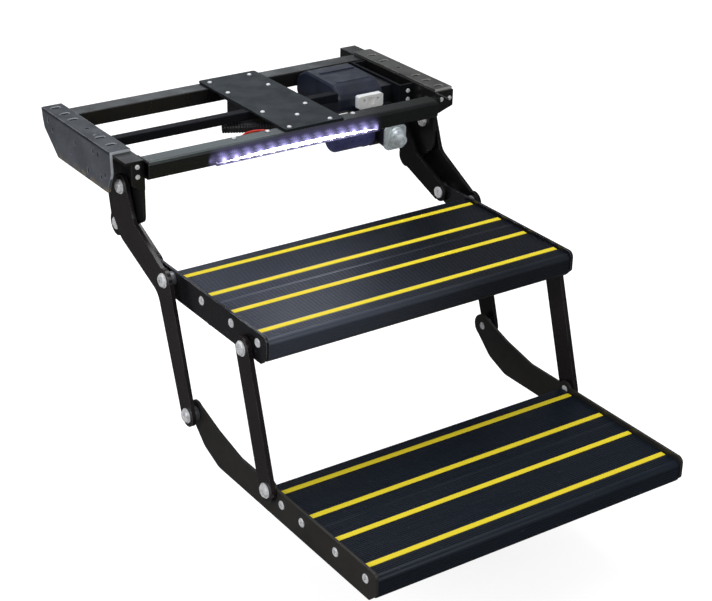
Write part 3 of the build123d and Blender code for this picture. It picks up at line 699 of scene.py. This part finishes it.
class Workbench:
    """The few mesh operations that the fittings are modelled with."""

    @staticmethod
    def clear() -> None:
        """Leave nothing selected, in object mode."""
        if bpy.context.object is not None and bpy.context.object.mode != "OBJECT":
            bpy.ops.object.mode_set(mode="OBJECT")
        bpy.ops.object.select_all(action="DESELECT")

    @staticmethod
    def settle(piece: bpy.types.Object, name: str, material: bpy.types.Material, body: Body,
               slot: str, smooth: float = 35.0) -> bpy.types.Object:
        """Give a finished piece its name, finish, body and place.

        Args:
            piece: The piece, at its place.
            name: Its name.
            material: Its finish.
            body: The body it moves with.
            slot: The record's material slot; not used.
            smooth: Angle in degrees under which edges look smooth.

        Returns:
            The piece, with its place in its mesh.
        """
        Workbench.clear()
        piece.select_set(True)
        bpy.context.view_layer.objects.active = piece
        bpy.ops.object.transform_apply(location=True, rotation=True, scale=True)
        bpy.ops.object.shade_smooth_by_angle(angle=math.radians(smooth))
        piece.name = name
        piece.data.materials.clear()
        piece.data.materials.append(material)
        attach(piece, body.value)
        LOG.info("piece %s rides on %s", name, body.value)
        return piece

    @staticmethod
    def join(pieces: list[bpy.types.Object]) -> bpy.types.Object:
        """Join pieces into the first one and return it."""
        Workbench.clear()
        for piece in pieces:
            piece.select_set(True)
        bpy.context.view_layer.objects.active = pieces[0]
        bpy.ops.object.join()
        return pieces[0]

    @staticmethod
    def copy(piece: bpy.types.Object, matrix: Matrix) -> bpy.types.Object:
        """Return a copy of a piece with its own mesh, moved by a matrix."""
        twin = piece.copy()
        twin.data = piece.data.copy()
        bpy.context.scene.collection.objects.link(twin)
        twin.matrix_world = matrix @ piece.matrix_world
        return twin


@dataclass
class Palette:
    """Every finish on the step, made once."""

    made: dict[str, bpy.types.Material] = field(default_factory=dict)

    def add(self, finish: Finish) -> None:
        """Make a finish's material and keep it by name."""
        self.made[finish.name] = finish.material()


def dress(frame: dict, names: Iterable[str], material: bpy.types.Material) -> None:
    """Give CAD nodes a finish.

    Args:
        names: The nodes.
        material: The finish.
    """
    for name in names:
        for slot in frame["nodes"][name].material_slots:
            slot.material = material
        LOG.info("finish %s on %s", material.name, name)


def span(node: str) -> tuple[Vector, Vector]:
    """Return the lowest and highest corner of a node as vectors."""
    low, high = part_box(node)
    return Vector(low), Vector(high)


@dataclass
class Conduit:
    """The corrugated sleeve behind the front bar, along the node's own route."""

    pitch: float = 4.4 * MM
    rib: float = 1.3 * MM
    radius: float = 8.5 * MM
    start: Point = (0.012, -0.1167, -0.021)
    turn: Point = (0.012, -0.098, -0.021)
    end: Point = (-0.066, -0.025, -0.032)
    bend: float = 24.0 * MM
    sides: int = 24
    straight_parts: int = 4
    bend_parts: int = 8

    def stations(self) -> list[tuple[Vector, Vector]]:
        """Walk the route, half a rib at a time on its long run.

        Returns:
            Each ring's middle and direction.
        """
        start, turn, end = (Vector(p) for p in (self.start, self.turn, self.end))
        first, second = (turn - start).normalized(), (end - turn).normalized()
        half = first.angle(second) / 2
        cut = min(self.bend * math.tan(half), 0.98 * (turn - start).length)
        entry, leave = turn - first * cut, turn + second * cut
        places = [(start.lerp(entry, i / self.straight_parts), first) for i in range(self.straight_parts)]
        for i in range(self.bend_parts + 1):
            share = i / self.bend_parts
            near = entry.lerp(turn, share)
            far = turn.lerp(leave, share)
            places.append((near.lerp(far, share), first.lerp(second, share).normalized()))
        run = (end - leave).length
        count = int(run / (self.pitch / 2))
        places += [(leave.lerp(end, (i + 1) / count), second) for i in range(count)]
        return places

    def build(self, material: bpy.types.Material) -> None:
        """Model the sleeve ring by ring and put it in the node's place.

        Args:
            material: The sleeve's finish.
        """
        Workbench.clear()
        places = self.stations()
        spot, along = places[0]
        turn = along.to_track_quat("Z", "Y").to_euler()
        bpy.ops.mesh.primitive_circle_add(vertices=self.sides, radius=self.radius, fill_type="NGON",
                                          location=spot, rotation=turn)
        piece = bpy.context.object
        bpy.ops.object.mode_set(mode="EDIT")
        bpy.ops.mesh.select_all(action="SELECT")
        wide = True
        factor = self.radius / (self.radius - self.rib)
        for (here, before), (there, after) in zip(places, places[1:]):
            bpy.ops.mesh.extrude_region_move(TRANSFORM_OT_translate={"value": there - here})
            angle = before.angle(after)
            if angle > 1e-5:
                self.swing(piece, there, before.cross(after).normalized(), angle)
            wide = not wide
            size = factor if wide else 1.0 / factor
            bpy.ops.transform.resize(value=(size, size, size), center_override=there)
        bpy.ops.object.mode_set(mode="OBJECT")
        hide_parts("cable_conduit")
        Workbench.settle(piece, "corrugated_sleeve", material, Body.FRAME, "rubber", 60.0)

    @staticmethod
    def swing(piece: bpy.types.Object, centre: Vector, axis: Vector, angle: float) -> None:
        """Turn the selected ring about its centre."""
        bpy.ops.object.mode_set(mode="OBJECT")
        turn = Matrix.Translation(centre) @ Matrix.Rotation(angle, 4, axis) @ Matrix.Translation(-centre)
        local = piece.matrix_world.inverted() @ turn @ piece.matrix_world
        for vertex in piece.data.vertices:
            if vertex.select:
                vertex.co = local @ vertex.co
        bpy.ops.object.mode_set(mode="EDIT")


@dataclass
class LightRow:
    """The row of small lamps inside the light's channel."""

    count: int = 14
    radius: float = 2.6 * MM
    pitch: float = 20.5 * MM
    first: float = -145.0 * MM
    height_share: float = 0.3
    bulge: float = 0.4 * MM

    def build(self, material: bpy.types.Material) -> None:
        """Model one lamp dome and repeat it along the lens.

        Args:
            material: The lamps' finish.
        """
        low, high = span("light_lens")
        middle = low.z + self.height_share * (high.z - low.z)
        Workbench.clear()
        bpy.ops.mesh.primitive_uv_sphere_add(segments=12, ring_count=8, radius=self.radius,
                                             location=(self.first, low.y, middle))
        lamp = bpy.context.object
        bpy.ops.object.mode_set(mode="EDIT")
        bpy.ops.mesh.select_all(action="SELECT")
        bpy.ops.mesh.bisect(plane_co=(self.first, low.y + self.bulge, middle), plane_no=(0, 1, 0),
                            use_fill=True, clear_outer=True)
        bpy.ops.object.mode_set(mode="OBJECT")
        step = Matrix.Translation((self.pitch, 0, 0))
        lamps = [lamp]
        while len(lamps) < self.count:
            lamps.append(Workbench.copy(lamps[-1], step))
        Workbench.settle(Workbench.join(lamps), "light_lamps", material, Body.FRAME, "light_diffuser")


@dataclass
class WeldBead:
    """A run of overlapping weld scallops along a straight seam."""

    name: str
    start: Point
    end: Point
    size: float = 2.2 * MM
    spacing: float = 0.8
    wander: float = 0.18

    def build(self, material: bpy.types.Material) -> None:
        """Model one scallop and repeat it along the seam.

        Args:
            material: The bead's finish.
        """
        start, end = Vector(self.start), Vector(self.end)
        count = max(3, int((end - start).length / (self.spacing * self.size)))
        Workbench.clear()
        bpy.ops.mesh.primitive_uv_sphere_add(segments=10, ring_count=6, radius=self.size, location=start)
        bead = bpy.context.object
        bpy.ops.object.mode_set(mode="EDIT")
        bpy.ops.mesh.select_all(action="SELECT")
        bpy.ops.transform.resize(value=(0.8, 1.0, 0.75), center_override=start)
        bpy.ops.object.mode_set(mode="OBJECT")
        beads = [bead]
        for i in range(1, count + 1):
            wobble = self.wander * self.size * math.sin(2.4 * i)
            place = start.lerp(end, i / count) - start + Vector((wobble, wobble, 0))
            beads.append(Workbench.copy(bead, Matrix.Translation(place)))
        Workbench.settle(Workbench.join(beads), self.name, material, Body.FRAME, "black_steel", 50.0)


@dataclass
class Studio:
    """Floor, lamps and camera, at the photograph's viewing angle."""

    eye: Point = (-1.2736, -2.1355, 0.8566)
    azimuth: float = math.radians(-34.4928)
    elevation: float = math.radians(25.2675)
    roll: float = 0.019015
    focal_pixels: float = 1683.25
    width_pixels: float = 712.0
    shift: tuple[float, float] = (0.00722, -0.02648)
    sensor: float = 36.0
    floor_drop: float = 0.16
    backdrop: float = 0.8
    ambient: float = 0.3
    mirrored: float = 0.13

    def camera(self) -> None:
        """Place the camera."""
        Workbench.clear()
        bpy.ops.object.camera_add(location=self.eye)
        camera = bpy.context.object
        a, e = self.azimuth, self.elevation
        back = Vector((math.sin(a) * math.cos(e), -math.cos(a) * math.cos(e), math.sin(e)))
        level = Vector((math.cos(a), math.sin(a), 0.0))
        upright = back.cross(level)
        right = level * math.cos(self.roll) + upright * math.sin(self.roll)
        up = back.cross(right)
        turn = Matrix((right, up, back)).transposed()
        camera.rotation_mode = "QUATERNION"
        camera.rotation_quaternion = turn.to_quaternion()
        camera.data.sensor_width = self.sensor
        camera.data.lens = self.focal_pixels * self.sensor / self.width_pixels
        camera.data.shift_x, camera.data.shift_y = self.shift
        camera.data.clip_end = 50.0
        bpy.context.scene.camera = camera

    def lamp(self, name: str, place: Point, aim: Point, size: float, power: float,
             colour: Colour = (1.0, 1.0, 1.0)) -> None:
        """Add one soft square lamp.

        Args:
            name: Its name.
            place: Where it hangs.
            aim: What it points at.
            size: Its side in metres.
            power: Its power in watts.
            colour: Its colour.
        """
        Workbench.clear()
        bpy.ops.object.light_add(type="AREA", location=place)
        lamp = bpy.context.object
        lamp.name = name
        lamp.data.shape = "SQUARE"
        lamp.data.size = size
        lamp.data.energy = power
        lamp.data.color = colour
        lamp.rotation_euler = (Vector(aim) - Vector(place)).to_track_quat("-Z", "Y").to_euler()

    def floor(self) -> None:
        """Lay the pale floor under the step and let it show white to the camera."""
        low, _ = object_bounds()
        Workbench.clear()
        bpy.ops.mesh.primitive_plane_add(size=24.0, location=(0.0, 0.0, low[2] - self.floor_drop))
        ground = bpy.context.object
        ground.name = "studio_floor"
        graph = Graph("studio_floor")
        path = graph.node("ShaderNodeLightPath")
        grain = graph.remap(graph.noise(1.5, 3.0), 0.3, 0.7, 0.0, 0.05)
        pale = graph.mix(grain, (0.62, 0.62, 0.62), (0.58, 0.58, 0.58))
        mirrored = path.outputs["Is Glossy Ray"]
        graph.put(Base_Color=graph.mix(mirrored, pale, (self.mirrored,) * 3), Roughness=1.0,
                  Specular_IOR_Level=0.0)
        shown = graph.product(path.outputs["Is Camera Ray"], self.backdrop)
        graph.put(Emission_Color=(1.0, 1.0, 1.0), Emission_Strength=shown)
        ground.data.materials.append(graph.material)
        ground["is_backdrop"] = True

    def world(self) -> None:
        """Make the surroundings white to the camera, dim to the step and darker in its gloss."""
        world = bpy.data.worlds.new("studio")
        bpy.context.scene.world = world
        world.use_nodes = True
        tree = world.node_tree
        path = tree.nodes.new("ShaderNodeLightPath")
        source = None
        for ray, level in (("Is Glossy Ray", self.mirrored), ("Is Camera Ray", 1.0)):
            made = tree.nodes.new("ShaderNodeMapRange")
            made.inputs["To Min"].default_value = self.ambient
            made.inputs["To Max"].default_value = level
            if source is not None:
                tree.links.new(source, made.inputs["To Min"])
            tree.links.new(path.outputs[ray], made.inputs["Value"])
            source = made.outputs["Result"]
        tree.links.new(source, tree.nodes["Background"].inputs["Strength"])
        tree.nodes["Background"].inputs["Color"].default_value = (1.0, 1.0, 1.0, 1.0)

    def build(self) -> None:
        """Set the whole studio."""
        self.camera()
        self.floor()
        self.world()
        self.lamp("top_softbox", (0.1, 0.3, 2.3), (0.0, -0.2, -0.2), 1.8, 36.0)
        self.lamp("left_softbox", (-2.3, -0.9, 1.0), (0.0, -0.2, -0.2), 1.0, 17.0)
        self.lamp("front_softbox", (0.6, -2.8, 1.4), (0.0, -0.3, -0.2), 1.4, 12.0)
        self.lamp("back_card", (1.0, 2.0, 0.9), (0.0, -0.2, -0.1), 0.9, 2.6, (0.86, 0.93, 1.0))


@dataclass
class Step:
    """The whole step: every node's finish and every fitting."""

    frame: dict
    lamp_row: LightRow = field(default_factory=LightRow)
    slot_rows: tuple[float, ...] = (108 * MM, 76 * MM, 48 * MM, -42 * MM, -76 * MM)
    slot_middle: float = 280 * MM
    strip_places: tuple[float, ...] = (92 * MM, 153.7 * MM, 223 * MM)
    strip_lip: float = 5.4 * MM
    joint_lip: float = 0.3 * MM

    def finishes(self) -> Palette:
        """Make the finishes."""
        palette = Palette()
        for finish in (*self.coats(), *self.metals(), *self.mouldings(), *self.light_finishes()):
            palette.add(finish)
        return palette

    def coats(self) -> list[Finish]:
        """List the coatings of the steel and cast pieces.

        Returns:
            The finishes.
        """
        return [
            PowderCoat("black_coat", (0.0065, 0.0065, 0.0072)),
            PowderCoat("dull_coat", (0.0045, 0.0055, 0.009), roughness=0.6, edge_wear_and_highlight=0.12, cloud=0.1, gloss=0.2),
            # A darker version of the arm coat for the far side's arms: painted shade.
            PowderCoat("shaded_arm_coat", (0.0035, 0.0032, 0.0038), edge_wear_and_highlight=0.5, gloss=0.3),
            # The arms' lighter rims are partly wear, partly a painted edge highlight.
            PowderCoat("arm_coat", (0.0115, 0.0085, 0.0098), roughness=0.2, edge_wear_and_highlight=0.75,
                       worn_and_highlight_colour=(0.2, 0.21, 0.23)),
            PowderCoat("bracket_coat", (0.021, 0.0195, 0.0175), roughness=0.46, edge_wear_and_highlight=0.25),
            # The upper brackets' pale edges are mostly a painted edge highlight, partly wear.
            PowderCoat("bright_bracket_coat", (0.0075, 0.0075, 0.0095), roughness=0.22, edge_wear_and_highlight=1.0,
                       worn_and_highlight_colour=(0.4, 0.42, 0.46)),
            *(self.angle_finish(side) for side in Side),
            PowderCoat("cover_coat", (0.014, 0.019, 0.024), roughness=0.46, edge_wear_and_highlight=0.45, cloud=0.1, gloss=0.22,
                       worn_and_highlight_colour=(0.3, 0.33, 0.35)),
            PowderCoat("casting_coat", (0.008, 0.009, 0.013), roughness=0.35),
        ]

    def metals(self) -> list[Finish]:
        """Return the bare, plated and anodised metals, and the strips let into the treads."""
        return [
            # The upper tread carries a painted reflection on its left part and strong painted highlights on
            # its lips.
            TreadMetal("upper_tread_metal", (0.009, 0.0125, 0.02), (0.014, 0.019, 0.029), left_reflection=0.8,
                       lips=self.lips("upper"), lip_strength=0.9),
            TreadMetal("lower_tread_metal", (0.007, 0.0125, 0.023), (0.011, 0.019, 0.033),
                       lips=self.lips("lower"), lip_strength=0.1),
            GripInsert("grip_yellow", (1.0, 0.8, 0.02)),
            PlatedSteel("zinc", (0.96, 0.97, 1.0), metallic=0.12),
            PlatedSteel("dark_zinc", (0.3, 0.31, 0.34), roughness=0.34),
            PlatedSteel("bright_casting", (0.85, 0.94, 1.0), roughness=0.28, metallic=0.15),
        ]

    def mouldings(self) -> list[Finish]:
        """Return the plastics and the rubber."""
        return [
            # The strong edge lightening on the gear housing is mostly a painted highlight on its ribs and
            # rims.
            Moulding("motor_plastic", (0.0095, 0.014, 0.03), edge_rub_and_highlight=0.9),
            Moulding("can_enamel", (0.06, 0.065, 0.2), roughness=0.3),
            Moulding("box_plastic", (0.006, 0.006, 0.009)),
            Moulding("connector_plastic", (0.85, 0.93, 0.97), roughness=0.36, edge_rub_and_highlight=0.1),
            Moulding("sleeve_plastic", (0.01, 0.01, 0.013), roughness=0.34),
            Moulding("rubber", (0.008, 0.008, 0.009), roughness=0.55, grain=700.0, depth=0.1),
            LeadInsulation("lead_insulation", ((0.95, 0.25, 0.02), (0.95, 0.6, 0.05), (0.75, 0.03, 0.02)),
                           -20 * MM, 3.6 * MM, (-98 * MM, -20 * MM)),
        ]

    def light_finishes(self) -> list[Finish]:
        """Return the lit lens and the coat before it."""
        glow, front = self.lamp_glow()
        return [
            LitLens("lit_lens", (0.95, 0.96, 1.0), 22.0, glow, span("light_lens")[0].z),
            WashedCoat("washed_bar", (0.0075, 0.0085, 0.009), glow, front),
        ]

    def angle_finish(self, side: Side) -> RubbedAngle:
        """Return the finish of one mounting angle, its bare places set from the node's box."""
        low, _ = span(f"mount_angle_{side.name.lower()}")
        left = side is Side.LEFT
        # The two mirrored angles get different top, skirt and bare colours as painted light and shade: the
        # right skirt's inner face is painted darker as shade.
        top = (0.012, 0.016, 0.026) if left else (0.085, 0.086, 0.083)
        skirt = (0.125, 0.135, 0.16) if left else (0.05, 0.052, 0.055)
        bare = (0.62, 0.66, 0.7) if left else (0.5, 0.5, 0.47)
        return RubbedAngle(f"rubbed_angle_{side.name.lower()}", top, skirt, bare, self.slot_rows,
                           self.slot_middle, low.y, side.value)

    def lips(self, step: str) -> tuple[float, ...]:
        """Return where the rear lips of a tread's last three grip strips and its plank joint lie."""
        _, rear = span(f"{step}_tread_rear_plank")
        _, joint = span(f"{step}_tread_front_plank")
        places = [rear.y - strip + self.strip_lip for strip in self.strip_places]
        return tuple(places + [joint.y - self.joint_lip])

    def lamp_glow(self) -> tuple[LampGlow, float]:
        """Return the lamps' glow and the front bar's foremost Y, both placed by the nodes' boxes."""
        low, high = span("light_channel")
        bar_low, bar_high = span("front_bar")
        foot = 0.5 * (low.z + high.z)
        glow = LampGlow((0.5, 0.46, 1.0), self.lamp_row.pitch, self.lamp_row.first, foot, bar_high.z,
                        (low.x, high.x))
        return glow, bar_low.y

    def dress_nodes(self, made: dict[str, bpy.types.Material]) -> None:
        """Give every CAD node its finish; what the plan doesn't name is zinc plated.

        Args:
            made: The finishes by name.
        """
        sides = ("left", "right")
        plan = {
            "rubbed_angle_left": ["mount_angle_left"],
            "rubbed_angle_right": ["mount_angle_right"],
            "black_coat": [f"side_plate_{s}" for s in sides] + ["rear_bar"],
            "dull_coat": ["middle_bar", "motor_carrier"],
            "washed_bar": ["front_bar", "light_channel"],
            "arm_coat": ["main_arm_left", "level_arm_left", "front_link_left", "front_link_right"],
            "shaded_arm_coat": ["main_arm_right", "level_arm_right"],
            "bright_bracket_coat": [f"upper_bracket_{s}" for s in sides],
            "bracket_coat": [f"lower_bracket_{s}" for s in sides],
            "cover_coat": ["cover_plate"],
            "casting_coat": ["gearbox"],
            "upper_tread_metal": ["upper_tread_rear_plank", "upper_tread_front_plank"],
            "lower_tread_metal": ["lower_tread_rear_plank", "lower_tread_front_plank"],
            "grip_yellow": ["upper_grip_strips", "lower_grip_strips"],
            "bright_casting": ["motor_cap"],
            "motor_plastic": ["gear_housing"],
            "can_enamel": ["motor_can"],
            "box_plastic": ["control_box"],
            "connector_plastic": ["terminal_block"],
            "rubber": ["stop_rollers", "tread_buffers"],
            "lead_insulation": ["light_leads"],
            "lit_lens": ["light_lens"],
        }
        nodes = self.frame["nodes"]
        plan["dark_zinc"] = [n for n in nodes if "spacer" in n or "washer" in n or n == "output_shaft"]
        taken = {name for names in plan.values() for name in names} | {"cable_conduit"}
        plan["zinc"] = [n for n in nodes if n not in taken]
        for finish, names in plan.items():
            dress(self.frame, names, made[finish])

    def build(self) -> None:
        """Dress the nodes and add the fittings."""
        made = self.finishes().made
        self.dress_nodes(made)
        Conduit().build(made["sleeve_plastic"])
        self.lamp_row.build(made["lit_lens"])
        bar_low, bar_high = span("front_bar")
        for side in Side:
            x = bar_high.x * side.value
            WeldBead(f"front_bar_weld_{side.name.lower()}", (x, bar_low.y + 2 * MM, bar_high.z),
                     (x, bar_high.y - 2 * MM, bar_high.z)).build(made["black_coat"])


def main() -> None:
    """Load the model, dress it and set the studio."""
    logging.basicConfig(level=logging.INFO, format="%(name)s: %(message)s")
    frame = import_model()
    bpy.context.scene.view_settings.view_transform = "Standard"
    Step(frame).build()
    Studio().build()


if __name__ == "__main__":
    main()
